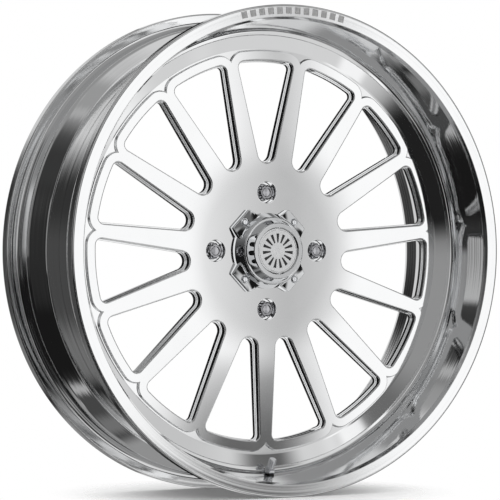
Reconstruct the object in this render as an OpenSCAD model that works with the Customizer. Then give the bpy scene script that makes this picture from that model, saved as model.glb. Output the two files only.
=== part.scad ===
// Forged and polished wheel rim, 24 x 7 in, for a side-by-side racer.
// Row frame: the origin is at the centre of the rim's width, the wheel turns about Y,
// the outboard side faces -Y, +Z is up and the valve is at the bottom. Sizes are in millimetres.

/* [Barrel] */
// Overall diameter over the flanges
rim_d = 649; // [645:0.5:653]
// Overall width over the flanges
rim_w = 208; // [206:0.5:212]
// Width between the bead flanges
bead_w = 177.8; // [176:0.2:179]
// Diameter of the bead seats at the flange
seat_d = 614.4; // [612:0.2:616]
// Outside diameter of the drop centre
well_d = 590; // [588:0.5:592]
// Wall thickness of the drop centre
well_wall = 6.7; // [6:0.1:7]
// Diameter of the opening inside each lip
lip_opening_d = 616; // [614:0.5:618]
// Number of plain bars engraved in the outboard lip
lip_bars = 12; // [6:1:14]

/* [Centre] */
// Distance of the hub face behind the lip
face_depth = 69.2; // [67:0.1:71]
// Outboard offset of the mounting face from the middle of the rim
wheel_offset = 13; // [12:0.5:14]
// Radius of the window arc next to the rim
window_outer_r = 256; // [254:0.5:257]
// Radius at which a window's inner end is centred
window_tip_at = 131; // [129:0.5:135]
// Radius of a window's inner end
window_tip_r = 15; // [14:0.25:15.5]
// Radius of a window's outer corners
window_corner_r = 10; // [9:0.25:11]
// Width of the raised face outside each window
ridge_w = 11.5; // [11:0.1:12]
// Angle between a window's side and its middle line
window_flare = 14; // [13.5:0.1:14.2]

/* [Hub fit] */
// Pitch circle of the lug studs
lug_pcd = 156; // [155:0.5:157]
// Radius of the clearance hole round each stud
stud_hole_r = 6.6; // [6.5:0.05:6.9]
// Radius of the pocket round each lug nut
lug_pocket_r = 14.3; // [13.5:0.1:15]
// Radius of the centring bore in the back of the hub
hub_bore_r = 66; // [65:0.5:67]
// Depth of the centring bore
hub_bore_depth = 8; // [7:0.5:8.5]

/* [Centre cap] */
// Radius of the cap's body where it meets the hub face
cap_r = 50.5; // [50:0.5:52]
// Height of the cap's body above the hub face
cap_body_h = 19.2; // [18:0.1:20]
// Radius of the bezel's front edge
bezel_r = 36.4; // [35:0.1:38]
// Height of the whole cap above the hub face
cap_h = 31.2; // [30:0.1:33]
// Distance of each cap screw from both middle planes
cap_screw_at = 38; // [37:0.25:38.5]
// Thickness of the cap's four feet
foot_h = 9.5; // [9:0.1:10]
// Slope of the feet's front faces towards their tips
foot_slope = 12; // [10:0.5:13]

/* [Valve] */
// Lean of the valve from the radial line towards the outboard side
valve_lean = 30; // [28:0.5:32]
// Distance of the valve's seat from the middle of the rim
valve_at = 40.8; // [40.6:0.1:41]
// Radius of the valve hole
valve_hole_r = 5.75; // [5.7:0.05:6]
// Travel of the valve core's pin
pin_travel = 1.3; // [1:0.1:1.4]

/* [Hidden] */
$fn = 96;

fit_gap = 0.1;          // clearance between pieces that fit together and never move
polished = "gainsboro";
plated = "silver";
rubber = "dimgray";

windows = 15;
lugs = 4;

// Barrel levels, as distances along the axis from the middle of the rim, outboard positive.
rim_r = rim_d / 2;
half_w = rim_w / 2;
half_bead = bead_w / 2;
seat_r = seat_d / 2;
well_r = well_d / 2;
bore_r = well_r - well_wall;
opening_r = lip_opening_d / 2;
edge_r = 2;             // rounding of the flange edges
heel_r = 6.5;           // fillet between the flange and the bead seat
seat_taper = tan(5);
seat_end = half_bead - 20;
hump_h = 1.3;
well_start = 30;        // the drop centre is straight between plus and minus this

// Centre levels.
hub_z = half_w - face_depth;
ring_z = hub_z - 2.4;   // the face falls this much from the hub to the rim
valley_z = ring_z - 3.4;
shoulder_z = hub_z + 0.2;
back_z = wheel_offset;
disc_r = bore_r - fit_gap;
pitch = 360 / windows;
corner_at = window_outer_r - window_corner_r;
ridge_r = window_outer_r + ridge_w;
ridge_corner_r = window_corner_r + ridge_w;
pocket_floor = back_z + 11;
lug_seat_top_r = 11.2;
lug_seat_z = pocket_floor - (lug_seat_top_r - stud_hole_r) / tan(30);   // small end of the lug seat

// Cap levels.
foot_z = hub_z + foot_h;
body_z = hub_z + cap_body_h;
cap_z = hub_z + cap_h;
cap_opening_r = 38.5;
spigot_r = cap_opening_r - 0.5;
skirt_r = 34;
medallion_r = 30;
medallion_z = cap_z - 2;
screw_r = 2.5;
screw_seat_z = foot_z - 3.4;   // under the screws' heads

// Valve levels, above the seat that is cut inside the barrel.
valve_seat_r = 295;    // distance of that seat from the wheel's axis
wall_h = 3;             // barrel wall between the two seats
stem_r = 4.1;
stem_h = 18.6;
core_bore_r = 2.45;
core_step_h = 1;

// Points of an arc about c, from angle a0 to a1.
function arc(c, r, a0, a1, n = 6) =
    [for (i = [0:n]) c + r * [cos(a0 + (a1 - a0) * i / n), sin(a0 + (a1 - a0) * i / n)]];

// Turns a shape modelled along +Z, outboard, into the row frame.
module wheel_axis() {
    rotate([90, 0, 0]) children();
}

// Moves children to lug stud i, counted clockwise from the top.
module at_lug(i) {
    rotate(90 - i * 360 / lugs) translate([lug_pcd / 2, 0]) children();
}

module at_cap_screws() {
    for (x = [-1, 1], y = [-1, 1]) translate([x * cap_screw_at, y * cap_screw_at]) children();
}

// ---- Barrel ----

// Tyre side of one half of the barrel, from the drop centre to the lip's face.
function tyre_side(well_end, slope_top) = concat(
    [[well_r, well_end], slope_top],
    [[seat_r - 2.7, seat_end - 6.5]],
    arc([seat_r - 3.2 - hump_h, seat_end - 3], 3 + hump_h, -20, 40, 4),
    [[seat_r - (half_bead - seat_end) * seat_taper, seat_end]],
    arc([seat_r + heel_r, half_bead - heel_r], heel_r, 175, 90),
    arc([rim_r - edge_r, half_bead + edge_r], edge_r, -90, 0, 3),
    arc([rim_r - edge_r, half_w - edge_r], edge_r, 0, 90, 3)
);

// Hub side of the outboard half: lip bevel, polished wall and the fillet down to the centre.
dish_side = concat(
    [[opening_r, half_w], [opening_r - 3.1, half_w - 5.4]],
    arc([bore_r - 0.6, shoulder_z + 7.6], 7.6, 0, -80, 8),
    [[bore_r, shoulder_z]]
);

// Hub side of the inboard half.
back_side = [
    [bore_r, -well_start],
    [seat_r - 7.7, -seat_end + 7],
    [seat_r - 6.4, -half_bead],
    [opening_r - 3.1, -half_w + 5.4],
    [opening_r, -half_w]
];

function flipped(points) = [for (i = [len(points) - 1:-1:0]) [points[i][0], -points[i][1]]];

module lip_bar(i) {
    bar = [9, 8.5, 1.2];
    spread = 27;
    rotate(90 - spread / 2 + spread * i / (lip_bars - 1))
        translate([(rim_r + opening_r) / 2 - bar[0] / 2, -bar[1] / 2, half_w - bar[2] / 2]) cube(bar);
}

// Moves a piece of the valve, modelled upwards from its seat in the barrel, to its place.
module valve_place() {
    translate([0, -valve_at, -valve_seat_r]) rotate([valve_lean, 0, 0]) children();
}

module valve_seats() {
    seat = 7.8;
    valve_place() {
        cylinder(r = seat, h = 12);
        translate([0, 0, -wall_h - 12]) cylinder(r = seat + 1.2, h = 12);
        translate([0, 0, -wall_h - 1]) cylinder(r = valve_hole_r, h = wall_h + 2);
    }
}

module outer_barrel() {
    color(polished) difference() {
        wheel_axis() difference() {
            rotate_extrude() polygon(concat(
                dish_side,
                back_side,
                flipped(tyre_side(well_start, [seat_r - 3.4, seat_end - 9])),
                tyre_side(well_start, [seat_r - 5.7, 44])
            ));
            for (i = [0:lip_bars - 1]) lip_bar(i);
        }
        valve_seats();
    }
}

// ---- Forged centre ----

corner_a = window_flare
    + asin((window_tip_r - window_corner_r - window_tip_at * sin(window_flare)) / corner_at);
corner_c = corner_at * [sin(corner_a), cos(corner_a)];

function mirrored(p) = [-p[0], p[1]];

// Right half of one window's outline, from the inner end outwards, taken in by inset all round.
function half_window(inset) = concat(
    arc([0, window_tip_at], window_tip_r - inset, -90, -window_flare, 6),
    arc(corner_c, window_corner_r - inset, -window_flare, 90 - corner_a, 6),
    arc([0, 0], window_outer_r - inset, 90 - corner_a + 3, 90, 3)
);

// One window, drawn upwards from the wheel's axis.
module window_shape(inset) {
    right = half_window(inset);
    left = [for (i = [len(right) - 2:-1:1]) mirrored(right[i])];
    polygon(concat(right, left));
}

function turned(p, a) = [p[0] * cos(a) - p[1] * sin(a), p[0] * sin(a) + p[1] * cos(a)];

// Right half of the raised face's edge over one window, from the notch at the spoke's middle.
function half_ridge() =
    let (
        off = pitch / 2 - corner_a,
        reach = corner_at * cos(off) + sqrt(pow(ridge_corner_r, 2) - pow(corner_at * sin(off), 2)),
        from_corner = reach * [sin(pitch / 2), cos(pitch / 2)] - corner_c
    )
    concat(
        arc(corner_c, ridge_corner_r, atan2(from_corner[1], from_corner[0]), 90 - corner_a, 6),
        arc([0, 0], ridge_r, 90 - corner_a + 2, 90, 4)
    );

module ridge_shape() {
    right = half_ridge();
    left = [for (i = [len(right) - 2:-1:1]) mirrored(right[i])];
    polygon([for (i = [0:windows - 1]) each [for (p = concat(right, left)) turned(p, i * pitch)]]);
}

module face_layer() {
    past_ridge = ridge_r + 5;
    intersection() {
        rotate_extrude() polygon([
            [20, valley_z - 4], [past_ridge, valley_z - 4], [past_ridge, ring_z], [105, hub_z], [20, hub_z]
        ]);
        linear_extrude(hub_z + 5) ridge_shape();
    }
}

module disc_body() {
    rotate_extrude() polygon([
        [20, back_z], [100, back_z], [106, back_z + 2.5],
        [250, ring_z - 15], [262, ring_z - 17], [266, back_z + 2], [disc_r, back_z + 2],
        [disc_r, shoulder_z], [disc_r - 16.2, valley_z + 0.6], [disc_r - 18.2, valley_z], [20, valley_z]
    ]);
}

// The upper part of each window is wider, so that a ledge runs round inside it.
module window_cut() {
    edge = 1.6;
    ledge = 2;
    ledge_z = ring_z - 9.5;
    translate([0, 0, -1]) linear_extrude(hub_z) window_shape(edge + ledge);
    translate([0, 0, ledge_z]) linear_extrude(hub_z) window_shape(edge);
    translate([0, 0, ring_z - edge / 2]) linear_extrude(hub_z) window_shape(0);
}

module lug_cut() {
    translate([0, 0, -1]) cylinder(r = stud_hole_r, h = hub_z);
    translate([0, 0, lug_seat_z])
        cylinder(r1 = stud_hole_r, r2 = lug_seat_top_r, h = pocket_floor - lug_seat_z);
    translate([0, 0, pocket_floor]) cylinder(r = lug_pocket_r, h = hub_z);
}

module forged_centre() {
    color(polished) wheel_axis() difference() {
        union() {
            disc_body();
            face_layer();
        }
        for (i = [0:windows - 1]) rotate(i * pitch) window_cut();
        for (i = [0:lugs - 1]) at_lug(i) lug_cut();
        translate([0, 0, -1]) cylinder(r = cap_opening_r, h = half_w);
        translate([0, 0, back_z - 5]) cylinder(r = hub_bore_r, h = hub_bore_depth + 5);
        at_cap_screws() translate([0, 0, back_z]) cylinder(r = screw_r + 0.05, h = hub_z);
    }
}

module weld_bead() {
    leg = 7;
    z = back_z + 2;
    color("darkgray") wheel_axis() rotate_extrude() polygon(concat(
        [[bore_r - fit_gap / 2, z - fit_gap / 2]],
        [[bore_r - leg, z - fit_gap / 2]],
        arc([bore_r - 1.5, z - 1.5], 5.5, 180, 270, 6),
        [[bore_r - fit_gap / 2, z - leg]]
    ));
}

// ---- Lug nuts ----

// A closed nut: a 60 degree seat, a round collar and a splined drive with a chamfered end.
module lug_nut(i) {
    cone_r = 10.9;
    small_r = 7.9;
    drive_r = 10.3;
    chamfer = 1.8;
    tip_z = lug_seat_z + (small_r - stud_hole_r) / tan(30) + 0.02;
    collar_z = tip_z + (cone_r - small_r) / tan(30);
    drive_z = collar_z + 2;
    end_z = hub_z - 0.5;
    splines = 6;
    color(plated) wheel_axis() at_lug(i) difference() {
        rotate_extrude() polygon([
            [0, tip_z], [small_r, tip_z], [cone_r, collar_z], [cone_r, drive_z], [drive_r, drive_z],
            [drive_r, end_z - chamfer], [drive_r - chamfer, end_z], [0, end_z]
        ]);
        for (k = [0:splines - 1]) rotate(k * 360 / splines)
            translate([drive_r + 0.9, 0, drive_z + 1]) cylinder(r = 2.1, h = 30);
        translate([0, 0, tip_z - 1]) cylinder(r = 6.1, h = end_z - tip_z - 2);
    }
}

module lug_nut_1() { lug_nut(0); }
module lug_nut_2() { lug_nut(1); }
module lug_nut_3() { lug_nut(2); }
module lug_nut_4() { lug_nut(3); }

// ---- Centre cap ----

// One diagonal foot, drawn along +X from the cap's axis.
module foot_shape() {
    tip_x = 60.5;
    tip_y = 17.5;
    polygon([
        [30, -24], [46, -21], [tip_x - 2, -tip_y], [tip_x, 2 - tip_y],
        [tip_x, tip_y - 2], [tip_x - 2, tip_y], [46, 21], [30, 24]
    ]);
}

// One foot, its front face falling away towards its tip.
module foot() {
    slope_from = 46;
    difference() {
        translate([0, 0, hub_z]) linear_extrude(foot_h) foot_shape();
        translate([slope_from, -30, foot_z]) rotate([0, foot_slope, 0]) cube([30, 60, 10]);
    }
}

module cap_base() {
    groove_h = 2.5;
    groove_depth = 1.8;
    color(plated) wheel_axis() difference() {
        union() {
            rotate_extrude() polygon([
                [skirt_r - 1, hub_z], [cap_r, hub_z], [cap_r, hub_z + 2.5], [cap_r - 5.5, body_z - 1.2],
                [cap_r - 6.7, body_z], [skirt_r - 1, body_z]
            ]);
            for (k = [0:3]) rotate(45 + 90 * k) foot();
            translate([0, 0, hub_z - 5]) cylinder(r = spigot_r, h = 6);
        }
        translate([0, 0, hub_z - 10]) cylinder(r = skirt_r, h = 40);
        translate([0, 0, hub_z - 3.8]) difference() {
            cylinder(r = spigot_r + 1, h = groove_h);
            translate([0, 0, -1]) cylinder(r = spigot_r - groove_depth, h = groove_h + 2);
        }
        at_cap_screws() {
            translate([0, 0, hub_z - 1]) cylinder(r = screw_r + 0.3, h = foot_h + 2);
            translate([0, 0, screw_seat_z]) cylinder(r = 5.3, h = foot_h);
        }
    }
}

module cap_bezel() {
    color(plated) wheel_axis() difference() {
        union() {
            translate([0, 0, body_z]) cylinder(r1 = 41.8, r2 = bezel_r + 1, h = cap_z - body_z - 1.2);
            translate([0, 0, cap_z - 1.2]) cylinder(r1 = bezel_r + 1, r2 = bezel_r, h = 1.2);
            translate([0, 0, hub_z + 4]) cylinder(r = skirt_r - fit_gap, h = cap_body_h);
        }
        translate([0, 0, medallion_z - 1.5]) cylinder(r = medallion_r, h = 10);
        translate([0, 0, hub_z]) cylinder(r = skirt_r - 4, h = cap_h - 7);
    }
}

module cap_medallion() {
    color("lightgray") wheel_axis() translate([0, 0, medallion_z - 1.5]) difference() {
        cylinder(r = medallion_r - fit_gap, h = 1.5);
        translate([0, 0, 1.1]) linear_extrude(1) sunburst(0);
    }
}

// A plain ring of short bars, as many as the wheel has windows.
module sunburst(inset) {
    for (i = [0:windows - 1]) rotate(i * pitch) polygon([
        [-0.9 + inset, 11 + inset], [0.9 - inset, 11 + inset],
        [2.2 - inset, 23 - inset], [-2.2 + inset, 23 - inset]
    ]);
}

module medallion_inlay() {
    color("black") wheel_axis() translate([0, 0, medallion_z - 0.38]) linear_extrude(0.38) sunburst(0.05);
}

module cap_o_ring() {
    section_r = 1.05;
    color(rubber) wheel_axis() translate([0, 0, hub_z - 2.55])
        rotate_extrude() translate([spigot_r - 0.65, 0]) circle(r = section_r);
}

module cap_screws() {
    head_r = 4.75;
    head_h = 2.75;
    shank_h = 18;
    socket_r = 1.73;
    color(plated) wheel_axis() at_cap_screws() difference() {
        union() {
            translate([0, 0, screw_seat_z]) cylinder(r1 = head_r, r2 = head_r - 1.45, h = head_h);
            translate([0, 0, screw_seat_z - shank_h]) cylinder(r = screw_r, h = shank_h + 1);
        }
        translate([0, 0, screw_seat_z + 1.2]) cylinder(r = socket_r, h = 5, $fn = 6);
    }
}

// ---- Valve ----

module ring(r_out, r_in, h0, h1) {
    translate([0, 0, h0]) difference() {
        cylinder(r = r_out, h = h1 - h0);
        translate([0, 0, -1]) cylinder(r = r_in, h = h1 - h0 + 2);
    }
}

module valve_stem() {
    foot_top = -wall_h - 1.8;
    color(plated) valve_place() difference() {
        union() {
            translate([0, 0, foot_top - 2.6]) cylinder(r = 8.5, h = 2.6);
            translate([0, 0, foot_top - 1]) cylinder(r = stem_r, h = 8.4 - foot_top);
            translate([0, 0, 7]) cylinder(r = 3.5, h = 3);
            translate([0, 0, 9]) cylinder(r = 3.85, h = stem_h - 9);
        }
        translate([0, 0, -20]) cylinder(r = 1.4, h = 30);
        translate([0, 0, core_step_h]) cylinder(r = core_bore_r, h = 30);
    }
}

module valve_grommet() {
    color(rubber) valve_place() {
        ring(8, stem_r + 0.05, -wall_h - 1.75, -wall_h - 0.02);
        ring(valve_hole_r - 0.1, stem_r + 0.05, -wall_h - 0.5, -0.1);
    }
}

module valve_washer() {
    color(plated) valve_place() ring(7.5, stem_r + 0.15, 0.02, 1.2);
}

module valve_nut() {
    hex_r = 7.33;
    color(plated) valve_place() difference() {
        translate([0, 0, 1.25]) cylinder(r = hex_r, h = 4.8, $fn = 6);
        cylinder(r = stem_r + 0.05, h = 10);
    }
}

module valve_core_body() {
    color("goldenrod") valve_place() ring(core_bore_r - 0.05, 0.95, 10.2, 15.6);
}

module valve_core_seal() {
    color("ivory") valve_place() ring(core_bore_r - 0.05, 1.15, 8.4, 10.15);
}

module valve_core_pin() {
    color("goldenrod") valve_place() {
        translate([0, 0, 5]) cylinder(r = 0.65, h = stem_h - 5.4);
        translate([0, 0, stem_h - 1.3]) cylinder(r = 1, h = 0.8);
        translate([0, 0, 7]) cylinder(r = 1.7, h = 1.3);
    }
}

module valve_cap_seal() {
    color(rubber) valve_place() ring(3.9, 1.4, stem_h + 0.05, stem_h + 0.9);
}

module valve_cap() {
    cap_r_out = 5;
    grooves = 12;
    color(plated) valve_place() difference() {
        union() {
            translate([0, 0, 8.3]) cylinder(r = cap_r_out, h = 11.7);
            translate([0, 0, 20]) cylinder(r1 = cap_r_out, r2 = cap_r_out - 1, h = 1);
        }
        translate([0, 0, 8]) cylinder(r = 3.95, h = stem_h + 0.92 - 8);
        for (k = [0:grooves - 1]) rotate(k * 360 / grooves)
            translate([cap_r_out + 0.35, 0, 9.5]) cylinder(r = 0.75, h = 9);
    }
}

outer_barrel();
forged_centre();
weld_bead();
lug_nut_1();
lug_nut_2();
lug_nut_3();
lug_nut_4();
cap_base();
cap_bezel();
cap_medallion();
medallion_inlay();
cap_o_ring();
cap_screws();
valve_stem();
valve_grommet();
valve_washer();
valve_nut();
valve_core_body();
valve_core_seal();
valve_core_pin();
valve_cap_seal();
valve_cap();
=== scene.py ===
"""Visual model of a forged and polished 24 x 7 in wheel rim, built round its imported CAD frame.

The wheel turns about Y and its outboard side faces -Y. Sizes in the classes are in millimetres,
as "r", the distance from the wheel's axis, and "level", the distance outboard of the rim's middle.
"""

import logging
import math
from collections.abc import Callable
from dataclasses import dataclass
from enum import Enum

import bmesh
import bpy
import numpy as np
from mathutils import Matrix, Vector
from mathutils.geometry import delaunay_2d_cdt


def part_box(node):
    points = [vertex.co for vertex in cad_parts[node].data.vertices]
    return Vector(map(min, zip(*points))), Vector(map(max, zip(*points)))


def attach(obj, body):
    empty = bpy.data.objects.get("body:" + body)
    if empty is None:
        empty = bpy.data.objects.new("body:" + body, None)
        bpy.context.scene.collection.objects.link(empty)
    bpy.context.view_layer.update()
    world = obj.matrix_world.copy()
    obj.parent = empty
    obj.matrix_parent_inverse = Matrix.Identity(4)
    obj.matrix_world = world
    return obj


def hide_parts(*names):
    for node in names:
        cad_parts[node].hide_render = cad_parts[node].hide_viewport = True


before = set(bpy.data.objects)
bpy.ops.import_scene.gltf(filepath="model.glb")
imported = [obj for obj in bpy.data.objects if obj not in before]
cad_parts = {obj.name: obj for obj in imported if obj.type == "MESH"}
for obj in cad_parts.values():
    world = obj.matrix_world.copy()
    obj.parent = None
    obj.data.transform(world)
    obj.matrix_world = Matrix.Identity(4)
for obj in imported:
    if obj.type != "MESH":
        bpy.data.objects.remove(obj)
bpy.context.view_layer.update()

MM = 0.001
LOG = logging.getLogger("wheel_rim")

Outline = np.ndarray
Loop = list[int]
Height = Callable[[np.ndarray], np.ndarray]


class Body(Enum):
    """Rigid bodies of the frame that pieces ride on."""

    RIM = "rim"
    CAP = "centre_cap"
    SCREWS = "cap_screws"
    VALVE_CAP = "valve_cap"


class Slot(Enum):
    """Material slots of the record, one listed for each made piece."""

    ALUMINIUM = "polished_aluminium"
    WELD = "raw_weld"
    CHROME = "chrome"
    MEDALLION = "brushed_medallion"
    INLAY = "black_inlay"


# ---- Node trees ----


class Graph:
    """Adds nodes to a node tree and links them."""

    def __init__(self, tree: bpy.types.NodeTree) -> None:
        """Starts on a tree.

        Args:
            tree: The node tree to add to.
        """
        self.tree = tree

    def add(self, kind: str, settings: dict | None = None, **inputs: object) -> bpy.types.Node:
        """Adds a node.

        Args:
            kind: Blender's name of the node type.
            settings: The node's own properties.
            **inputs: Input sockets by name, with _ for a space, or i0, i1 for a place. A value is either
                a constant or the output socket to link.

        Returns:
            The new node.
        """
        node = self.tree.nodes.new(kind)
        for name, value in (settings or {}).items():
            setattr(node, name, value)
        for name, value in inputs.items():
            number = name[0] == "i" and name[1:].isdigit()
            socket = node.inputs[int(name[1:]) if number else name.replace("_", " ")]
            if isinstance(value, bpy.types.NodeSocket):
                self.tree.links.new(value, socket)
            else:
                socket.default_value = value
        return node

    def math(self, operation: str, *values: object) -> bpy.types.NodeSocket:
        """Adds a Math node and returns its output.

        Args:
            operation: The operation's name.
            *values: Numbers or output sockets.

        Returns:
            The result's socket.
        """
        inputs = {f"i{place}": value for place, value in enumerate(values)}
        return self.add("ShaderNodeMath", {"operation": operation}, **inputs).outputs[0]


def new_tree(name: str, kind: str, inputs: dict[str, str], outputs: dict[str, str]) -> Graph:
    """Makes a node group with named sockets.

    Args:
        name: The group's name.
        kind: GeometryNodeTree or ShaderNodeTree.
        inputs: Socket kind by name, such as {"Count": "Int"}.
        outputs: The same for the outputs.

    Returns:
        A graph on the new group.
    """
    tree = bpy.data.node_groups.new(name, kind)
    for way, sockets in (("INPUT", inputs), ("OUTPUT", outputs)):
        for label, socket_kind in sockets.items():
            tree.interface.new_socket(label, in_out=way, socket_type=f"NodeSocket{socket_kind}")
    return Graph(tree)


def lathe_tree() -> bpy.types.NodeTree:
    """Builds the tree that turns a section about the wheel's axis, with optional flutes.

    The section is a chain of points: x is the radius, y the level and z the depth of a flute there.

    Returns:
        The geometry node group.
    """
    sockets = {"Section": "Geometry", "Segments": "Int", "Flutes": "Int", "Flute Sharpness": "Float"}
    g = new_tree("lathe", "GeometryNodeTree", {**sockets, "Finish": "Material"}, {"Turned": "Geometry"})
    given = g.add("NodeGroupInput").outputs
    count = g.add("GeometryNodeAttributeDomainSize", Geometry=given["Section"]).outputs["Point Count"]
    around = g.math("ADD", given["Segments"], 1)
    grid = g.add("GeometryNodeMeshGrid", Vertices_X=count, Vertices_Y=around)
    index = g.add("GeometryNodeInputIndex").outputs[0]
    row = g.math("FLOOR", g.math("DIVIDE", g.math("ADD", index, 0.5), around))
    step = g.math("SUBTRACT", index, g.math("MULTIPLY", row, around))
    angle = g.math("MULTIPLY", g.math("DIVIDE", step, given["Segments"]), math.tau)
    sample = g.add(
        "GeometryNodeSampleIndex",
        {"data_type": "FLOAT_VECTOR", "domain": "POINT"},
        Geometry=given["Section"],
        Value=g.add("GeometryNodeInputPosition").outputs[0],
        Index=row,
    )
    part = g.add("ShaderNodeSeparateXYZ", i0=sample.outputs[0]).outputs
    wave = g.math("MAXIMUM", g.math("COSINE", g.math("MULTIPLY", angle, given["Flutes"])), 0.0)
    flute = g.math("MULTIPLY", part["Z"], g.math("POWER", wave, given["Flute Sharpness"]))
    radius = g.math("SUBTRACT", part["X"], flute)
    place = g.add(
        "ShaderNodeCombineXYZ",
        X=g.math("MULTIPLY", radius, g.math("SINE", angle)),
        Y=g.math("MULTIPLY", part["Y"], -1.0),
        Z=g.math("MULTIPLY", radius, g.math("COSINE", angle)),
    )
    turned = g.add("GeometryNodeSetPosition", Geometry=grid.outputs["Mesh"], Position=place.outputs[0])
    welded = g.add("GeometryNodeMergeByDistance", Geometry=turned.outputs[0], Distance=2e-6)
    finish_tree(g, welded.outputs[0], given["Finish"])
    return g.tree


def ring_tree() -> bpy.types.NodeTree:
    """Builds the tree that repeats a piece round the wheel's axis.

    Returns:
        The geometry node group.
    """
    sockets = {"Piece": "Geometry", "Count": "Int", "First Angle": "Float", "Step Angle": "Float"}
    g = new_tree("ring_of", "GeometryNodeTree", {**sockets, "Finish": "Material"}, {"Ring": "Geometry"})
    given = g.add("NodeGroupInput").outputs
    points = g.add("GeometryNodePoints", Count=given["Count"]).outputs[0]
    index = g.add("GeometryNodeInputIndex").outputs[0]
    angle = g.math("ADD", given["First Angle"], g.math("MULTIPLY", index, given["Step Angle"]))
    turn = g.add("ShaderNodeCombineXYZ", Y=angle).outputs[0]
    copies = g.add("GeometryNodeInstanceOnPoints", Points=points, Instance=given["Piece"], Rotation=turn)
    finish_tree(g, copies.outputs[0], given["Finish"])
    return g.tree


def finish_tree(g: Graph, geometry: bpy.types.NodeSocket, finish: bpy.types.NodeSocket) -> None:
    """Ends a geometry tree in Realize Instances and Set Material.

    Args:
        g: The tree's graph.
        geometry: The geometry so far.
        finish: The material to set.
    """
    real = g.add("GeometryNodeRealizeInstances", Geometry=geometry)
    dressed = g.add("GeometryNodeSetMaterial", Geometry=real.outputs[0], Material=finish)
    end = g.add("NodeGroupOutput")
    g.tree.links.new(dressed.outputs[0], end.inputs[0])


def grow(source: bpy.types.Mesh, tree: bpy.types.NodeTree, inputs: dict[str, object]) -> bpy.types.Mesh:
    """Runs a geometry tree on a mesh and returns the result as a plain mesh.

    Args:
        source: The mesh that the tree starts from. It is used up.
        tree: The geometry node group.
        inputs: The tree's inputs by name.

    Returns:
        The plain mesh.
    """
    maker = bpy.data.objects.new("maker", source)
    bpy.context.scene.collection.objects.link(maker)
    modifier = maker.modifiers.new("tree", "NODES")
    modifier.node_group = tree
    for socket in tree.interface.items_tree:
        if socket.name in inputs:
            modifier[socket.identifier] = inputs[socket.name]
    seen_through = bpy.context.evaluated_depsgraph_get()
    result = bpy.data.meshes.new_from_object(maker.evaluated_get(seen_through), depsgraph=seen_through)
    maker.modifiers.remove(modifier)
    bpy.data.objects.remove(maker)
    bpy.data.meshes.remove(source)
    return result


# ---- Outlines and sections ----


@dataclass(frozen=True)
class Corner:
    """A corner of a section: its radius, its level, how round it is and the depth of a flute there."""

    r: float
    level: float
    fillet: float = 0.0
    flute: float = 0.0


def rounded(corners: list[Corner], closed: bool, steps: int = 6, edge: float = 0.25) -> np.ndarray:
    """Rounds a chain of corners.

    Args:
        corners: The corners in order.
        closed: Whether the chain joins up with itself.
        steps: Straight steps in each round corner.
        edge: Distance of the extra points that keep long straight stretches true, or 0 for none.

    Returns:
        An array of (r, level, flute) rows. A closed chain's first row isn't repeated.
    """
    at = np.array([(c.r, c.level, c.flute) for c in corners], float)
    count = len(at)
    arcs: list[np.ndarray] = []
    for i, corner in enumerate(corners):
        if corner.fillet <= 0 or (not closed and i in (0, count - 1)):
            arcs.append(at[i : i + 1])
            continue
        before, after = at[i - 1, :2] - at[i, :2], at[(i + 1) % count, :2] - at[i, :2]
        room = min(np.linalg.norm(before), np.linalg.norm(after)) * 0.49
        before, after = before / np.linalg.norm(before), after / np.linalg.norm(after)
        half = math.acos(float(np.clip(before @ after, -1, 1))) / 2
        if half > math.radians(89.5):
            arcs.append(at[i : i + 1])
            continue
        back = min(corner.fillet / math.tan(half), room)
        radius = back * math.tan(half)
        middle = (before + after) / np.linalg.norm(before + after)
        centre = at[i, :2] + middle * radius / math.sin(half)
        swing = math.pi / 2 - half
        side = np.array([-middle[1], middle[0]])
        side = side if side @ before > 0 else -side
        turns = np.linspace(swing, -swing, steps + 1)
        arc = [centre - radius * (middle * math.cos(t) - side * math.sin(t)) for t in turns]
        arcs.append(np.column_stack([np.array(arc), np.full(steps + 1, corner.flute)]))
    rows: list[np.ndarray] = []
    for i, arc in enumerate(arcs):
        rows.extend(arc)
        if edge <= 0 or (not closed and i == count - 1):
            continue
        start, end = arc[-1], arcs[(i + 1) % count][0]
        length = float(np.linalg.norm(end[:2] - start[:2]))
        if length > 4 * edge:
            rows.append(start + (end - start) * edge / length)
            rows.append(end - (end - start) * edge / length)
    return np.array(rows)


def arc_points(centre: tuple[float, float], radius: float, start: float, end: float, steps: int) -> Outline:
    """Gives points on an arc, its angles in degrees from +X."""
    angles = np.radians(np.linspace(start, end, steps + 1))
    return np.column_stack([centre[0] + radius * np.cos(angles), centre[1] + radius * np.sin(angles)])


def circle_points(radius: float, steps: int, centre: tuple[float, float] = (0.0, 0.0)) -> Outline:
    """Gives a circle's points, without repeating the first."""
    return arc_points(centre, radius, 0, 360, steps)[:-1]


def turned(outline: Outline, degrees: float) -> Outline:
    """Turns an outline about the wheel's axis, anticlockwise as seen from outboard."""
    a = math.radians(degrees)
    return outline @ np.array([[math.cos(a), math.sin(a)], [-math.sin(a), math.cos(a)]])


def flat(level: float) -> Height:
    """Gives a face of one level."""
    return lambda r: np.full_like(r, level)


def inset_polygon(outline: Outline, inset: float) -> Outline:
    """Moves each side of a convex anticlockwise outline inwards.

    Args:
        outline: The corners.
        inset: How far the sides move.

    Returns:
        The new corners.
    """
    ahead = np.roll(outline, -1, axis=0) - outline
    ahead /= np.linalg.norm(ahead, axis=1)[:, None]
    inward = np.column_stack([-ahead[:, 1], ahead[:, 0]])
    before = np.roll(inward, 1, axis=0)
    share = 1 + np.sum(before * inward, axis=1)
    return outline + inset * (before + inward) / share[:, None]


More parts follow.
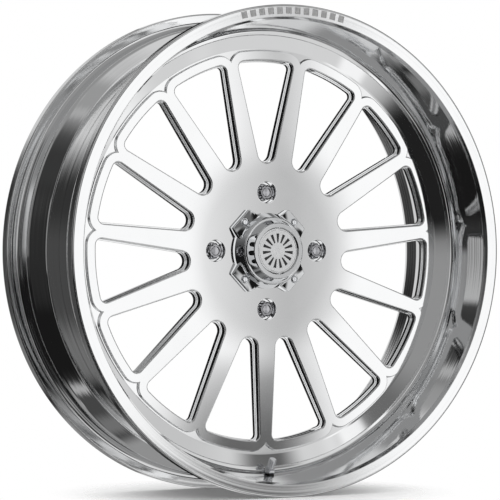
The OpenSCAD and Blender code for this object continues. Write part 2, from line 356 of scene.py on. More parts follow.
def inside(points: Outline, loop: Outline) -> np.ndarray:
    """Tells which points lie inside a loop.

    Args:
        points: The points to test.
        loop: The loop's corners.

    Returns:
        One flag per point.
    """
    x, y = points[:, 0][:, None], points[:, 1][:, None]
    ax, ay = loop[:, 0], loop[:, 1]
    bx, by = np.roll(ax, -1), np.roll(ay, -1)
    spans = (ay > y) != (by > y)
    run = np.where(by == ay, 1.0, by - ay)
    crossing = (bx - ax) * (y - ay) / run + ax
    return np.sum(spans & (x < crossing), axis=1) % 2 == 1


class Shell:
    """Collects loops, walls and filled faces of a closed shell, in millimetres."""

    def __init__(self) -> None:
        """Starts empty."""
        self.points: list[tuple[float, float, float]] = []
        self.faces: list[list[int]] = []
        self.patches: list[int] = []
        self.patch = 0

    def loop(self, outline: Outline, level: float | np.ndarray | Height) -> Loop:
        """Adds a loop of points.

        Args:
            outline: The points in the plane of the wheel.
            level: One level, one for each point, or a function of the distance from the axis.

        Returns:
            The points' numbers.
        """
        if callable(level):
            level = level(np.hypot(outline[:, 0], outline[:, 1]))
        levels = np.broadcast_to(level, len(outline))
        first = len(self.points)
        self.points.extend((x, -z, y) for (x, y), z in zip(outline.tolist(), levels.tolist()))
        return list(range(first, len(self.points)))

    def wall(self, loops: list[Loop]) -> None:
        """Joins loops of equal length, one after another, with a wall that is smooth in itself.

        Args:
            loops: The loops in order.
        """
        self.patch += 1
        for a, b in zip(loops, loops[1:]):
            count = len(a)
            for k in range(count):
                n = (k + 1) % count
                self.faces.append([a[k], a[n], b[n], b[k]])
                self.patches.append(self.patch)

    def fill(self, outer: Loop, holes: list[Loop], level: Height, guides: list[Outline],
             seeds: Outline | None = None) -> None:
        """Fills the space between an outer loop and holes.

        Args:
            outer: The outer loop.
            holes: The loops inside it.
            level: The level by distance from the axis, for new points.
            guides: Closed outlines that the filling's edges also follow.
            seeds: Single points that the filling also takes in.
        """
        self.patch += 1
        rings = [outer, *holes, *[self.loop(g, level) for g in guides]]
        numbers = [n for ring in rings for n in ring]
        if seeds is not None:
            numbers += self.loop(seeds, level)
        flat = np.array([(self.points[n][0], self.points[n][2]) for n in numbers])
        edges: list[tuple[int, int]] = []
        base = 0
        for ring in rings:
            edges.extend((base + k, base + (k + 1) % len(ring)) for k in range(len(ring)))
            base += len(ring)
        found = delaunay_2d_cdt([Vector(p) for p in flat], edges, [], 0, 1e-6)
        spots, triangles, sources = found[0], found[2], found[3]
        table: list[int] = []
        for spot, source in zip(spots, sources):
            if source:
                table.append(numbers[source[0]])
            else:
                table.extend(self.loop(np.array([spot[:]]), level))
        where = np.array([s[:] for s in spots])
        middles = where[np.array(triangles)].mean(axis=1)
        keep = inside(middles, flat[: len(outer)])
        base = len(outer)
        for hole in holes:
            keep &= ~inside(middles, flat[base : base + len(hole)])
            base += len(hole)
        for triangle, wanted in zip(triangles, keep):
            if wanted:
                self.faces.append([table[k] for k in triangle])
                self.patches.append(self.patch)

    def hole(self, centre: tuple[float, float], steps: int, section: list[Corner]) -> tuple[Loop, Loop]:
        """Makes the wall of a round hole from its section.

        Args:
            centre: The hole's centre.
            steps: Points in each loop.
            section: Radius and level of the wall, from the front face to the back.

        Returns:
            The front loop and the back loop.
        """
        rows = rounded(section, closed=False, steps=5, edge=0.2)
        loops = [self.loop(circle_points(r, steps, centre), level) for r, level, _ in rows]
        self.wall(loops)
        return loops[0], loops[-1]

    def mesh(self, name: str) -> bpy.types.Mesh:
        """Makes the mesh, closed, facing outwards, and sharp where its patches meet.

        Args:
            name: The mesh's name.

        Returns:
            The mesh, in metres.
        """
        mesh = bpy.data.meshes.new(name)
        mesh.from_pydata([Vector(p) * MM for p in self.points], [], self.faces)
        work = bmesh.new()
        work.from_mesh(mesh)
        work.faces.ensure_lookup_table()
        mark = work.faces.layers.int.new("patch")
        for face, patch in zip(work.faces, self.patches):
            face[mark] = patch
            face.smooth = True
        bmesh.ops.remove_doubles(work, verts=work.verts, dist=2e-6)
        bmesh.ops.delete(work, geom=[v for v in work.verts if not v.link_faces], context="VERTS")
        bmesh.ops.recalc_face_normals(work, faces=work.faces)
        for seam in work.edges:
            seam.smooth = len({face[mark] for face in seam.link_faces}) < 2
        work.faces.layers.int.remove(work.faces.layers.int["patch"])
        work.to_mesh(mesh)
        work.free()
        return mesh


# ---- Finishes ----


def haze_group() -> bpy.types.NodeTree:
    """Builds the uneven gloss that hand buffing leaves: an output for roughness and one for tone.

    Returns:
        The shader node group.
    """
    inputs = {"Scale": "Float", "Smooth": "Float", "Dull": "Float", "Tone Spread": "Float"}
    g = new_tree("buffing_haze", "ShaderNodeTree", inputs, {"Roughness": "Float", "Tone": "Float"})
    given = g.add("NodeGroupInput").outputs
    place = g.add("ShaderNodeTexCoord").outputs["Object"]
    cloud = g.add("ShaderNodeTexNoise", Vector=place, Scale=given["Scale"], Detail=4.0, Roughness=0.6)
    mask = g.add("ShaderNodeMapRange", Value=cloud.outputs[0], From_Min=0.35, From_Max=0.7).outputs[0]
    span = g.math("SUBTRACT", given["Dull"], given["Smooth"])
    end = g.add("NodeGroupOutput")
    g.tree.links.new(g.math("MULTIPLY_ADD", span, mask, given["Smooth"]), end.inputs["Roughness"])
    tone = g.math("SUBTRACT", 1.0, g.math("MULTIPLY", mask, given["Tone Spread"]))
    g.tree.links.new(tone, end.inputs["Tone"])
    return g.tree


def turning_group() -> bpy.types.NodeTree:
    """Builds the fine rings that a lathe and a buffing wheel leave about the wheel's axis.

    Returns:
        The shader node group, which puts out a height.
    """
    inputs = {"Pitch": "Float", "Fine Slope": "Float", "Wave Slope": "Float"}
    g = new_tree("turning_lines", "ShaderNodeTree", inputs, {"Height": "Float"})
    given = g.add("NodeGroupInput").outputs
    place = g.add("ShaderNodeTexCoord").outputs["Object"]
    part = g.add("ShaderNodeSeparateXYZ", i0=place).outputs
    square = g.math("ADD", g.math("MULTIPLY", part["X"], part["X"]), g.math("MULTIPLY", part["Z"], part["Z"]))
    radius = g.math("SQRT", square)
    height: object = 0.0
    for spread, slope in ((1.0, given["Fine Slope"]), (14.0, given["Wave Slope"])):
        pitch = g.math("MULTIPLY", given["Pitch"], spread)
        across, along = g.math("DIVIDE", radius, pitch), g.math("DIVIDE", part["Y"], pitch)
        spot = g.add("ShaderNodeCombineXYZ", X=across, Y=along)
        lines = g.add("ShaderNodeTexNoise", Vector=spot.outputs[0], Scale=1.0, Detail=1.0, Roughness=0.5)
        height = g.math("MULTIPLY_ADD", g.math("MULTIPLY", lines.outputs[0], pitch), slope, height)
    end = g.add("NodeGroupOutput")
    g.tree.links.new(height, end.inputs[0])
    return g.tree


class Groups:
    """The shader groups that the finishes share."""

    def __init__(self) -> None:
        """Builds each group once."""
        self.haze = haze_group()
        self.turning = turning_group()


@dataclass(frozen=True)
class Metal:
    """A bare or plated metal finish."""

    name: str
    colour: tuple[float, float, float]
    smooth: float = 0.03
    dull: float = 0.06
    tone_spread: float = 0.02
    haze_scale: float = 14.0
    line_pitch: float = 0.0004
    fine_slope: float = 0.0
    wave_slope: float = 0.0

    def material(self, groups: Groups) -> bpy.types.Material:
        """Makes the material.

        Args:
            groups: The shared shader groups.

        Returns:
            The material.
        """
        g, shader = start_material(self.name)
        shader.inputs["Metallic"].default_value = 1.0
        haze = g.add("ShaderNodeGroup", {"node_tree": groups.haze}, Scale=self.haze_scale, Smooth=self.smooth,
                     Dull=self.dull, Tone_Spread=self.tone_spread)
        tone = haze.outputs["Tone"]
        tint = g.add("ShaderNodeVectorMath", {"operation": "SCALE"}, i0=self.colour, Scale=tone)
        g.tree.links.new(tint.outputs[0], shader.inputs["Base Color"])
        g.tree.links.new(haze.outputs["Roughness"], shader.inputs["Roughness"])
        if self.fine_slope > 0:
            lines = g.add("ShaderNodeGroup", {"node_tree": groups.turning}, Pitch=self.line_pitch,
                          Fine_Slope=self.fine_slope, Wave_Slope=self.wave_slope)
            bump = g.add("ShaderNodeBump", Strength=1.0, Distance=1.0, Height=lines.outputs[0])
            g.tree.links.new(bump.outputs[0], shader.inputs["Normal"])
        return bpy.data.materials[self.name]


@dataclass(frozen=True)
class Soft:
    """A rubber, plastic or enamel finish."""

    name: str
    colour: tuple[float, float, float]
    smooth: float = 0.5
    dull: float = 0.7
    grain: float = 900.0
    depth: float = 0.00003

    def material(self, groups: Groups) -> bpy.types.Material:
        """Makes the material.

        Args:
            groups: The shared shader groups.

        Returns:
            The material.
        """
        g, shader = start_material(self.name)
        haze = g.add("ShaderNodeGroup", {"node_tree": groups.haze}, Scale=60.0, Smooth=self.smooth,
                     Dull=self.dull, Tone_Spread=0.12)
        tone = haze.outputs["Tone"]
        tint = g.add("ShaderNodeVectorMath", {"operation": "SCALE"}, i0=self.colour, Scale=tone)
        place = g.add("ShaderNodeTexCoord").outputs["Object"]
        grain = g.add("ShaderNodeTexNoise", Vector=place, Scale=self.grain, Detail=2.0)
        bump = g.add("ShaderNodeBump", Strength=0.6, Distance=self.depth, Height=grain.outputs[0])
        g.tree.links.new(tint.outputs[0], shader.inputs["Base Color"])
        g.tree.links.new(haze.outputs["Roughness"], shader.inputs["Roughness"])
        g.tree.links.new(bump.outputs[0], shader.inputs["Normal"])
        return bpy.data.materials[self.name]


def start_material(name: str) -> tuple[Graph, bpy.types.Node]:
    """Makes an empty material with its shader and output.

    Args:
        name: The material's name.

    Returns:
        The graph on its tree, and the Principled shader.
    """
    material = bpy.data.materials.new(name)
    material.use_nodes = True
    material.node_tree.nodes.clear()
    g = Graph(material.node_tree)
    shader = g.add("ShaderNodeBsdfPrincipled")
    g.add("ShaderNodeOutputMaterial", Surface=shader.outputs[0])
    return g, shader


class Finishes:
    """Every material of the wheel, by use."""

    def __init__(self) -> None:
        """Makes the materials."""
        groups = Groups()
        self.barrel = Metal("polished_barrel", (0.90, 0.905, 0.91), 0.02, 0.05,
                             fine_slope=0.02, wave_slope=0.012).material(groups)
        self.centre = Metal("polished_centre", (0.90, 0.905, 0.91), 0.03, 0.06).material(groups)
        self.frosted = Metal("frosted_marks", (0.95, 0.95, 0.95), 0.5, 0.62, 0.05, 60.0).material(groups)
        self.chrome = Metal("chrome_plate", (0.86, 0.87, 0.88), 0.02, 0.04, 0.01).material(groups)
        # The lug nuts are chrome, but their colour is lowered to about half of the cap's chrome: painted
        # shade for the pockets they sit in.
        self.nuts = Metal("chrome_nuts_painted_shade", (0.48, 0.48, 0.50), 0.03, 0.07, 0.05, 90.0).material(groups)
        self.steel = Metal("plated_fasteners", (0.84, 0.85, 0.87), 0.06, 0.12, 0.04, 90.0).material(groups)
        self.weld = Metal("raw_weld_bead", (0.55, 0.55, 0.56), 0.28, 0.45, 0.2, 120.0).material(groups)
        self.medallion = Metal("satin_medallion", (0.74, 0.745, 0.75), 0.1, 0.15, 0.03, 40.0,
                               0.0003, 0.04).material(groups)
        self.brass = Metal("machined_brass", (0.78, 0.58, 0.27), 0.14, 0.24, 0.08, 200.0).material(groups)
        self.rubber = Soft("moulded_rubber", (0.022, 0.022, 0.023)).material(groups)
        self.enamel = Soft("black_enamel", (0.006, 0.006, 0.007), 0.1, 0.18, 500.0, 0.000004).material(groups)
        self.seal = Soft("seal_plastic_white", (0.75, 0.73, 0.66)).material(groups)


# ---- Making pieces ----


class Workshop:
    """Turns sections and shells into finished pieces of the frame."""

    def __init__(self) -> None:
        """Builds the trees and the finishes."""
        self.lathe = lathe_tree()
        self.ring = ring_tree()
        self.finishes = Finishes()

    def turn(
        self, section: np.ndarray, closed: bool, finish: bpy.types.Material,
        segments: int = 360, flutes: int = 0, sharpness: float = 1.0,
    ) -> bpy.types.Mesh:
        """Turns a section about the wheel's axis.

        Args:
            section: Rows of (r, level, flute), in millimetres.
            closed: Whether the section joins up with itself.
            finish: The material.
            segments: Steps in a full turn.
            flutes: Flutes in a full turn.
            sharpness: How narrow a flute is.

        Returns:
            The mesh.
        """
        rows = np.vstack([section, section[:1]]) if closed else section
        chain = bpy.data.meshes.new("section")
        chain.from_pydata([Vector(row) * MM for row in rows], [], [])
        inputs = {"Segments": segments, "Flutes": flutes, "Flute Sharpness": sharpness, "Finish": finish}
        return tidy(grow(chain, self.lathe, inputs))

    def repeat(
        self, mesh: bpy.types.Mesh, count: int, finish: bpy.types.Material,
        first: float = 0.0, step: float = 0.0,
    ) -> bpy.types.Mesh:
        """Repeats a piece clockwise round the wheel's axis, its angles in degrees.

        Args:
            mesh: The piece, which is used up.
            count: How many there are.
            finish: The material.
            first: Angle of the first.
            step: Angle from one to the next.

        Returns:
            The mesh of them all.
        """
        angles = {"First Angle": math.radians(first), "Step Angle": math.radians(step)}
        return grow(mesh, self.ring, {"Count": count, "Finish": finish, **angles})

    def piece(
        self, name: str, mesh: bpy.types.Mesh, body: str, slot: Slot, replaced: tuple[str, ...] = ()
    ) -> bpy.types.Object:
        """Makes a piece of the object from its finished mesh.

        Args:
            name: The piece's name.
            mesh: The mesh, in its place.
            body: The body that it rides on.
            slot: The record's material slot; not used.
            replaced: CAD nodes that it stands for.

        Returns:
            The new object.
        """
        made = bpy.data.objects.new(name, mesh)
        mesh.name = name
        bpy.context.scene.collection.objects.link(made)
        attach(made, body)
        if replaced:
            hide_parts(*replaced)
        LOG.info("%s: %d faces, rides on %s", name, len(mesh.polygons), body)
        return made

    def dress(self, node: str, finish: bpy.types.Material) -> None:
        """Gives a carried-over CAD node its material.

        Args:
            node: The node's name.
            finish: The material.
        """
        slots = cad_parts[node].material_slots
        for place in slots:
            place.material = finish
        LOG.info("%s: dressed in %s", node, finish.name)


def tidy(mesh: bpy.types.Mesh, angle: float = 28.0) -> bpy.types.Mesh:
    """Points a closed mesh's faces outwards and shades it smooth.

    Args:
        mesh: The mesh, which is changed.
        angle: The angle up to which it is shaded smooth, in degrees.

    Returns:
        The same mesh.
    """
    work = bmesh.new()
    work.from_mesh(mesh)
    bmesh.ops.recalc_face_normals(work, faces=work.faces)
    work.to_mesh(mesh)
    work.free()
    mesh.shade_smooth()
    mesh.set_sharp_from_angle(angle=math.radians(angle))
    return mesh


def box_mesh(
    size: tuple[float, float, float], centre: tuple[float, float, float], bevel: float
) -> bpy.types.Mesh:
    """Makes a box with bevelled edges, in millimetres as (x, level, up).

    Args:
        size: Its sizes.
        centre: Its middle.
        bevel: The bevel's width.

    Returns:
        The mesh.
    """
    work = bmesh.new()
    bmesh.ops.create_cube(work, size=1.0)
    place = Matrix.Translation(Vector((centre[0], -centre[1], centre[2])) * MM)
    bmesh.ops.transform(work, matrix=place @ Matrix.Diagonal((*(Vector(size) * MM), 1.0)), verts=work.verts)
    if bevel > 0:
        bmesh.ops.bevel(work, geom=work.edges, offset=bevel * MM, segments=2, affect="EDGES", profile=0.5)
    mesh = bpy.data.meshes.new("box")
    work.to_mesh(mesh)
    work.free()
    return tidy(mesh)


def combine(target: bpy.types.Mesh, tool: bpy.types.Mesh, operation: str, finish: bpy.types.Material,
            angle: float = 28.0) -> bpy.types.Mesh:
    """Cuts or joins two closed meshes.

    Args:
        target: The mesh to change, which is used up.
        tool: The other mesh, which is used up.
        operation: DIFFERENCE or UNION.
        finish: The material of the result.
        angle: The angle up to which it is shaded smooth.

    Returns:
        The new mesh.
    """
    objects = [bpy.data.objects.new(name, mesh) for name, mesh in (("target", target), ("tool", tool))]
    for made in objects:
        bpy.context.scene.collection.objects.link(made)
    modifier = objects[0].modifiers.new("cut", "BOOLEAN")
    modifier.operation = operation
    modifier.solver = "EXACT"
    modifier.object = objects[1]
    seen_through = bpy.context.evaluated_depsgraph_get()
    result = bpy.data.meshes.new_from_object(objects[0].evaluated_get(seen_through), depsgraph=seen_through)
    for made, mesh in zip(objects, (target, tool)):
        bpy.data.objects.remove(made)
        bpy.data.meshes.remove(mesh)
    result.materials.clear()
    result.materials.append(finish)
    result.polygons.foreach_set("material_index", np.zeros(len(result.polygons), np.int32))
    return tidy(result, angle)


# ---- Sub-assemblies ----


@dataclass
class Levels:
    """Sizes that the sub-assemblies share, in millimetres; the two outer ones are read from the frame."""

    half_width: float = 104.0
    rim_r: float = 324.5
    hub_face: float = 34.8
    mounting_face: float = 13.0
    bore_r: float = 288.3
    windows: int = 15

    @property
    def ring_face(self) -> float:
        """Level of the raised face at the rim."""
        return self.hub_face - 2.4

    @property
    def valley(self) -> float:
        """Level of the groove outside the raised face."""
        return self.ring_face - 3.4

    @property
    def shoulder(self) -> float:
        """Level of the centre's edge against the barrel."""
        return self.hub_face + 0.2

    @property
    def web(self) -> float:
        """Level of the centring bore's bottom."""
        return self.mounting_face + 8

    def check(self) -> None:
        """Takes the outer sizes from the frame."""
        low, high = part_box("outer_barrel")
        self.half_width = (high.y - low.y) / 2 / MM
        self.rim_r = (high.x - low.x) / 2 / MM


@dataclass
class Valve:
    """The leaning valve: its place and its cap."""

    shop: Workshop
    lean: float = 30.0
    seat_level: float = 40.8
    seat_r: float = 295.0
    wall: float = 3.0

    def place(self) -> Matrix:
        """Gives the move from a piece turned about the wheel's axis to the valve's seat."""
        spot = Vector((0.0, -self.seat_level, -self.seat_r)) * MM
        return Matrix.Translation(spot) @ Matrix.Rotation(math.radians(self.lean - 90), 4, "X")

    def cutter(self, finish: bpy.types.Material) -> bpy.types.Mesh:
        """Makes the solid that the barrel loses: two flat seats and the hole between them.

        Args:
            finish: The material of the cut faces.

        Returns:
            The mesh, in its place.
        """
        seat_r, hole_r, back_r, reach = 7.8, 5.75, 9.0, 12.0
        section = [
            (0.0, -self.wall - reach), (back_r, -self.wall - reach), (back_r, -self.wall),
            (hole_r, -self.wall), (hole_r, 0.0), (seat_r, 0.0), (seat_r, reach), (0.0, reach),
        ]
        rows = rounded([Corner(r, level) for r, level in section], closed=False, edge=0)
        mesh = self.shop.turn(rows, False, finish, segments=48)
        mesh.transform(self.place())
        return mesh

    def build(self) -> None:
        """Makes the fluted cap, and dresses the stem and the rest of the valve."""
        finishes = self.shop.finishes
        cap = [
            Corner(0, 19.5), Corner(3.95, 19.5), Corner(3.95, 8.3), Corner(5.0, 8.3, 0.3),
            Corner(5.0, 9.3), Corner(5.0, 9.8, 0.0, 0.45), Corner(5.0, 18.3, 0.0, 0.45),
            Corner(5.0, 18.9), Corner(5.0, 20.0, 0.3), Corner(4.0, 21.0, 0.3), Corner(0, 21.0),
        ]
        mesh = self.shop.turn(rounded(cap, False, edge=0.1), False, finishes.steel, 192, 16, 1.0)
        mesh.transform(self.place())
        self.shop.piece("valve_cap_fluted", mesh, Body.VALVE_CAP.value, Slot.CHROME, ("valve_cap",))
        for node in ("valve_stem", "valve_washer", "valve_nut"):
            self.shop.dress(node, finishes.steel)
        for node in ("valve_grommet", "valve_cap_seal"):
            self.shop.dress(node, finishes.rubber)
        for node in ("valve_core_body", "valve_core_pin"):
            self.shop.dress(node, finishes.brass)
        self.shop.dress("valve_core_seal", finishes.seal)


@dataclass
class Barrel:
    """The rolled outer barrel with its flanges, bead seats, drop centre and lip marks."""

    shop: Workshop
    levels: Levels
    valve: Valve
    seat_r: float = 307.2
    half_bead: float = 88.9
    well_r: float = 295.0
    opening_r: float = 308.0
    marks: int = 12
    mark_spread: float = 27.0
    segments: int = 420

    def tyre_side(self, slope_r: float, slope_level: float) -> list[Corner]:
        """Gives one half of the tyre side, from the drop centre to the lip's face, at positive levels.

        Args:
            slope_r: Radius where the drop centre's slope ends.
            slope_level: Level of the same place.

        Returns:
            The corners.
        """
        seat_end, hump = self.half_bead - 20, 1.3
        heel_r, drop = 6.5, self.seat_r - 20 * math.tan(math.radians(5))
        return [
            Corner(self.well_r, 30, 12), Corner(slope_r, slope_level, 10),
            Corner(self.seat_r - 2.7, seat_end - 7, 2.5),
            Corner(drop + hump + 0.3, seat_end - 3.2, 2.6), Corner(drop, seat_end + 0.4, 2.0),
            Corner(self.seat_r, self.half_bead, heel_r),
            Corner(self.levels.rim_r, self.half_bead, 2.0),
            Corner(self.levels.rim_r, self.levels.half_width, 2.6),
        ]

    def section(self) -> np.ndarray:
        """Gives the barrel's whole closed section.

        Returns:
            Rows of (r, level, flute).
        """
        top, bore, opening = self.levels.half_width, self.levels.bore_r, self.opening_r
        dish = [
            Corner(opening, top, 0.7), Corner(opening - 3.1, top - 5.4, 1.2),
            Corner(bore + 6.5, self.levels.shoulder + 2, 7.0), Corner(bore, self.levels.shoulder - 0.6, 0.5),
        ]
        back = [
            Corner(bore, -30, 25), Corner(self.seat_r - 7.7, -61.9, 10),
            Corner(self.seat_r - 6.4, -self.half_bead, 4), Corner(opening - 3.1, -top + 5.4, 1.2),
            Corner(opening, -top, 0.7),
        ]
        inboard = [
            Corner(c.r, -c.level, c.fillet) for c in reversed(self.tyre_side(self.seat_r - 3.4, 59.9))
        ]
        outboard = self.tyre_side(self.seat_r - 5.7, 44)
        return rounded(dish + back + inboard + outboard, closed=True)

    def mark_angles(self) -> tuple[float, float]:
        """Gives the first mark's angle and the step between marks, clockwise from the top."""
        return -self.mark_spread / 2, self.mark_spread / (self.marks - 1)

    def build(self) -> None:
        """Makes the barrel with its valve seat and marks, and the frosted floors of the marks."""
        finishes = self.shop.finishes
        body = self.shop.turn(self.section(), True, finishes.barrel, self.segments)
        body = combine(body, self.valve.cutter(finishes.barrel), "DIFFERENCE", finishes.barrel)
        middle = (self.levels.rim_r + self.opening_r) / 2
        first, step = self.mark_angles()
        recess = box_mesh((8.5, 1.2, 9.0), (0, self.levels.half_width, middle), 0)
        recesses = self.shop.repeat(recess, self.marks, finishes.barrel, first, step)
        body = combine(body, recesses, "DIFFERENCE", finishes.barrel)
        self.shop.piece("barrel_polished", body, Body.RIM.value, Slot.ALUMINIUM, ("outer_barrel",))
        floor = box_mesh((8.3, 0.3, 8.8), (0, self.levels.half_width - 0.43, middle), 0.05)
        floors = self.shop.repeat(floor, self.marks, finishes.frosted, first, step)
        self.shop.piece("lip_mark_frosting", tidy(floors), Body.RIM.value, Slot.ALUMINIUM)


@dataclass
class ForgedCentre:
    """The forged centre: hub pad, spokes, scalloped face and rim band, and the weld behind it."""

    shop: Workshop
    levels: Levels
    outer_r: float = 256.0
    tip_at: float = 131.0
    tip_r: float = 15.0
    corner_r: float = 10.0
    flare: float = 14.0
    ridge_w: float = 11.5
    pcd: float = 156.0
    lugs: int = 4
    crown_from: float = 95.0
    crown_to: float = 170.0
    face_end: float = 272.5
    pad_r: float = 100.0
    pad_foot: float = 106.0
    back_turn: float = 254.0
    back_end: float = 262.0

    @property
    def corner_at(self) -> float:
        """Distance of a window's outer corner centres from the axis."""
        return self.outer_r - self.corner_r

    @property
    def corner_angle(self) -> float:
        """Angle of those centres from the window's middle.

        Returns:
            The angle in degrees.
        """
        flare = math.radians(self.flare)
        lean = (self.tip_r - self.corner_r - self.tip_at * math.sin(flare)) / self.corner_at
        return self.flare + math.degrees(math.asin(lean))

    def corner(self) -> tuple[float, float]:
        """Gives the right-hand corner's centre."""
        a = math.radians(self.corner_angle)
        return self.corner_at * math.sin(a), self.corner_at * math.cos(a)

    def window(self, inset: float, place: int) -> Outline:
        """Gives one window's outline.

        Args:
            inset: How far it is taken in all round.
            place: Which window, anticlockwise from the top.

        Returns:
            The outline, anticlockwise.
        """
        tip = arc_points((0, self.tip_at), self.tip_r - inset, -90, -self.flare, 12)
        corner = arc_points(self.corner(), self.corner_r - inset, -self.flare, 90 - self.corner_angle, 12)
        right = np.vstack([
            tip, np.linspace(tip[-1], corner[0], 13)[1:-1], corner,
            arc_points((0, 0), self.outer_r - inset, 90 - self.corner_angle + 1.1, 90, 7),
        ])
        left = right[-2:0:-1] * (-1, 1)
        return turned(np.vstack([right, left]), place * 360 / self.levels.windows)

    def ridge(self, inset: float) -> Outline:
        """Gives the scalloped edge of the raised face.

        Args:
            inset: How far it is taken in.

        Returns:
            The outline, anticlockwise.
        """
        radius = self.corner_r + self.ridge_w - inset
        off = math.radians(180 / self.levels.windows - self.corner_angle)
        reach = self.corner_at * math.cos(off) + math.sqrt(radius**2 - (self.corner_at * math.sin(off)) ** 2)
        half_pitch = math.radians(180 / self.levels.windows)
        notch = np.array([math.sin(half_pitch), math.cos(half_pitch)]) * reach - self.corner()
        start = math.degrees(math.atan2(notch[1], notch[0]))
        end = 90 - self.corner_angle
        right = np.vstack([
            arc_points(self.corner(), radius, start, end, 14),
            arc_points((0, 0), self.outer_r + self.ridge_w - inset, end + 0.8, 90, 9),
        ])
        left = right[-2:0:-1] * (-1, 1)
        one = np.vstack([right, left])
        return np.vstack([turned(one, k * 360 / self.levels.windows) for k in range(self.levels.windows)])

    def face_level(self, r: np.ndarray) -> np.ndarray:
        """Gives the level of the front face.

        Args:
            r: Distances from the axis.

        Returns:
            The levels.
        """
        span = self.crown_to - self.crown_from
        slope = (self.levels.hub_face - self.levels.ring_face) / (span / 2 + self.face_end - self.crown_to)
        curved = np.clip(r - self.crown_from, 0, span) ** 2 / (2 * span)
        return self.levels.hub_face - slope * (curved + np.maximum(r - self.crown_to, 0))

    def back_level(self, r: np.ndarray) -> np.ndarray:
        """Gives the level of the back face: the hub's pad, its foot, the spokes and the edge.

        Args:
            r: Distances from the axis.

        Returns:
            The levels.
        """
        low = self.levels.mounting_face
        radii = [self.pad_r, self.pad_foot, self.back_turn, self.back_end]
        return np.interp(r, radii, [low, low + 2.5, low + 4.4, low + 2])

    def build(self) -> None:
        """Makes the centre and the weld bead."""
        shell = Shell()
        windows_front, windows_back = self.window_walls(shell)
        pockets_front, pockets_back = self.lug_walls(shell)
        opening, web = self.opening_wall(shell)
        ridge_top = self.ridge_wall(shell)
        screws_front, screws_back = self.screw_walls(shell)
        guides = [circle_points(r, 180) for r in np.arange(self.crown_from, self.tip_at - self.tip_r, 4.0)]
        spokes = [
            turned(np.array([[0.0, r]]), (k + 0.5) * 360 / self.levels.windows)
            for k in range(self.levels.windows) for r in np.arange(120.0, 250.0, 10.0)
        ]
        holes = [opening, *windows_front, *pockets_front, *screws_front]
        shell.fill(ridge_top, holes, self.face_level, guides, np.vstack(spokes))
        self.band(shell)
        bore_top, bore_edge = self.bore_wall(shell)
        shell.fill(bore_top, [web, *screws_back], flat(self.levels.web), [])
        outer = shell.loop(circle_points(self.back_end, 360), self.back_level)
        guides = [circle_points(r, 180) for r in (self.pad_r, self.pad_foot)]
        guides.append(circle_points(self.back_turn, 360))
        shell.fill(outer, [bore_edge, *windows_back, *pockets_back], self.back_level, guides)
        mesh = shell.mesh("forged_centre")
        mesh.materials.append(self.shop.finishes.centre)
        self.shop.piece("centre_polished", mesh, Body.RIM.value, Slot.ALUMINIUM, ("forged_centre",))
        self.weld()

    def window_walls(self, shell: Shell) -> tuple[list[Loop], list[Loop]]:
        """Makes the walls of every window: a round front edge, a ledge half-way and a round back edge.

        Args:
            shell: The shell to add to.

        Returns:
            The front loops and the back loops.
        """
        edge, ledge, ledge_depth, soft, back_edge = 1.6, 2.0, 9.5, 0.4, 0.8
        ledge_level = self.levels.ring_face - ledge_depth
        inner = edge + ledge
        fronts, backs = [], []
        turn = [(math.sin(q), 1 - math.sin(q), 1 - math.cos(q)) for q in np.radians(np.linspace(0, 90, 6))]
        for place in range(self.levels.windows):
            profiles = [
                [(edge * on, self.below(edge * drop)) for on, _, drop in turn],
                [(edge + soft * drop, ledge_level + soft * left) for _, left, drop in turn],
                [(inner - soft * left, ledge_level - soft * drop) for _, left, drop in turn],
                [(inner - back_edge * drop, self.above(back_edge * left)) for _, left, drop in turn],
            ]
            last: Loop = []
            for profile in profiles:
                loops = [shell.loop(self.window(inset, place), level) for inset, level in profile]
                if last:
                    shell.wall([last, loops[0]])
                else:
                    fronts.append(loops[0])
                shell.wall(loops)
                last = loops[-1]
            backs.append(last)
        return fronts, backs

    def below(self, drop: float) -> Height:
        """Gives a level that lies by drop under the front face."""
        return lambda r: self.face_level(r) - drop

    def above(self, rise: float) -> Height:
        """Gives a level that lies by rise over the back face."""
        return lambda r: self.back_level(r) + rise

    def lug_walls(self, shell: Shell) -> tuple[list[Loop], list[Loop]]:
        """Makes the lug pockets, their conical seats and the stud holes.

        Args:
            shell: The shell to add to.

        Returns:
            The front loops and the back loops.
        """
        pocket_r, stud_r, seat_r = 14.3, 6.6, 11.2
        front, back = self.levels.hub_face, self.levels.mounting_face
        floor = back + 11
        seat = floor - (seat_r - stud_r) / math.tan(math.radians(30))
        section = [
            Corner(pocket_r + 0.9, front), Corner(pocket_r, front, 0.9), Corner(pocket_r, floor, 0.6),
            Corner(seat_r, floor, 0.3), Corner(stud_r, seat, 0.3), Corner(stud_r, back + 0.5, 0.2),
            Corner(stud_r + 0.5, back),
        ]
        fronts, backs = [], []
        for k in range(self.lugs):
            a = math.radians(90 - k * 360 / self.lugs)
            spot = (self.pcd / 2 * math.cos(a), self.pcd / 2 * math.sin(a))
            front_loop, back_loop = shell.hole(spot, 96, section)
            fronts.append(front_loop)
            backs.append(back_loop)
        return fronts, backs

    def screw_walls(self, shell: Shell) -> tuple[list[Loop], list[Loop]]:
        """Makes the four holes of the cap screws.

        Args:
            shell: The shell to add to.

        Returns:
            The front loops and the back loops.
        """
        at, r = 38.0, 2.55
        section = [Corner(r, self.levels.hub_face), Corner(r, self.levels.web)]
        pairs = [
            shell.hole((x * at, y * at), 24, section) for x in (-1, 1) for y in (-1, 1)
        ]
        return [p[0] for p in pairs], [p[1] for p in pairs]

    def opening_wall(self, shell: Shell) -> tuple[Loop, Loop]:
        """Makes the wall of the opening that takes the cap's spigot.

        Args:
            shell: The shell to add to.

        Returns:
            The front loop and the back loop.
        """
        r, front, web = 38.5, self.levels.hub_face, self.levels.web
        section = [Corner(r + 0.5, front), Corner(r, front - 0.5), Corner(r, web + 0.5), Corner(r + 0.5, web)]
        return shell.hole((0, 0), 180, section)

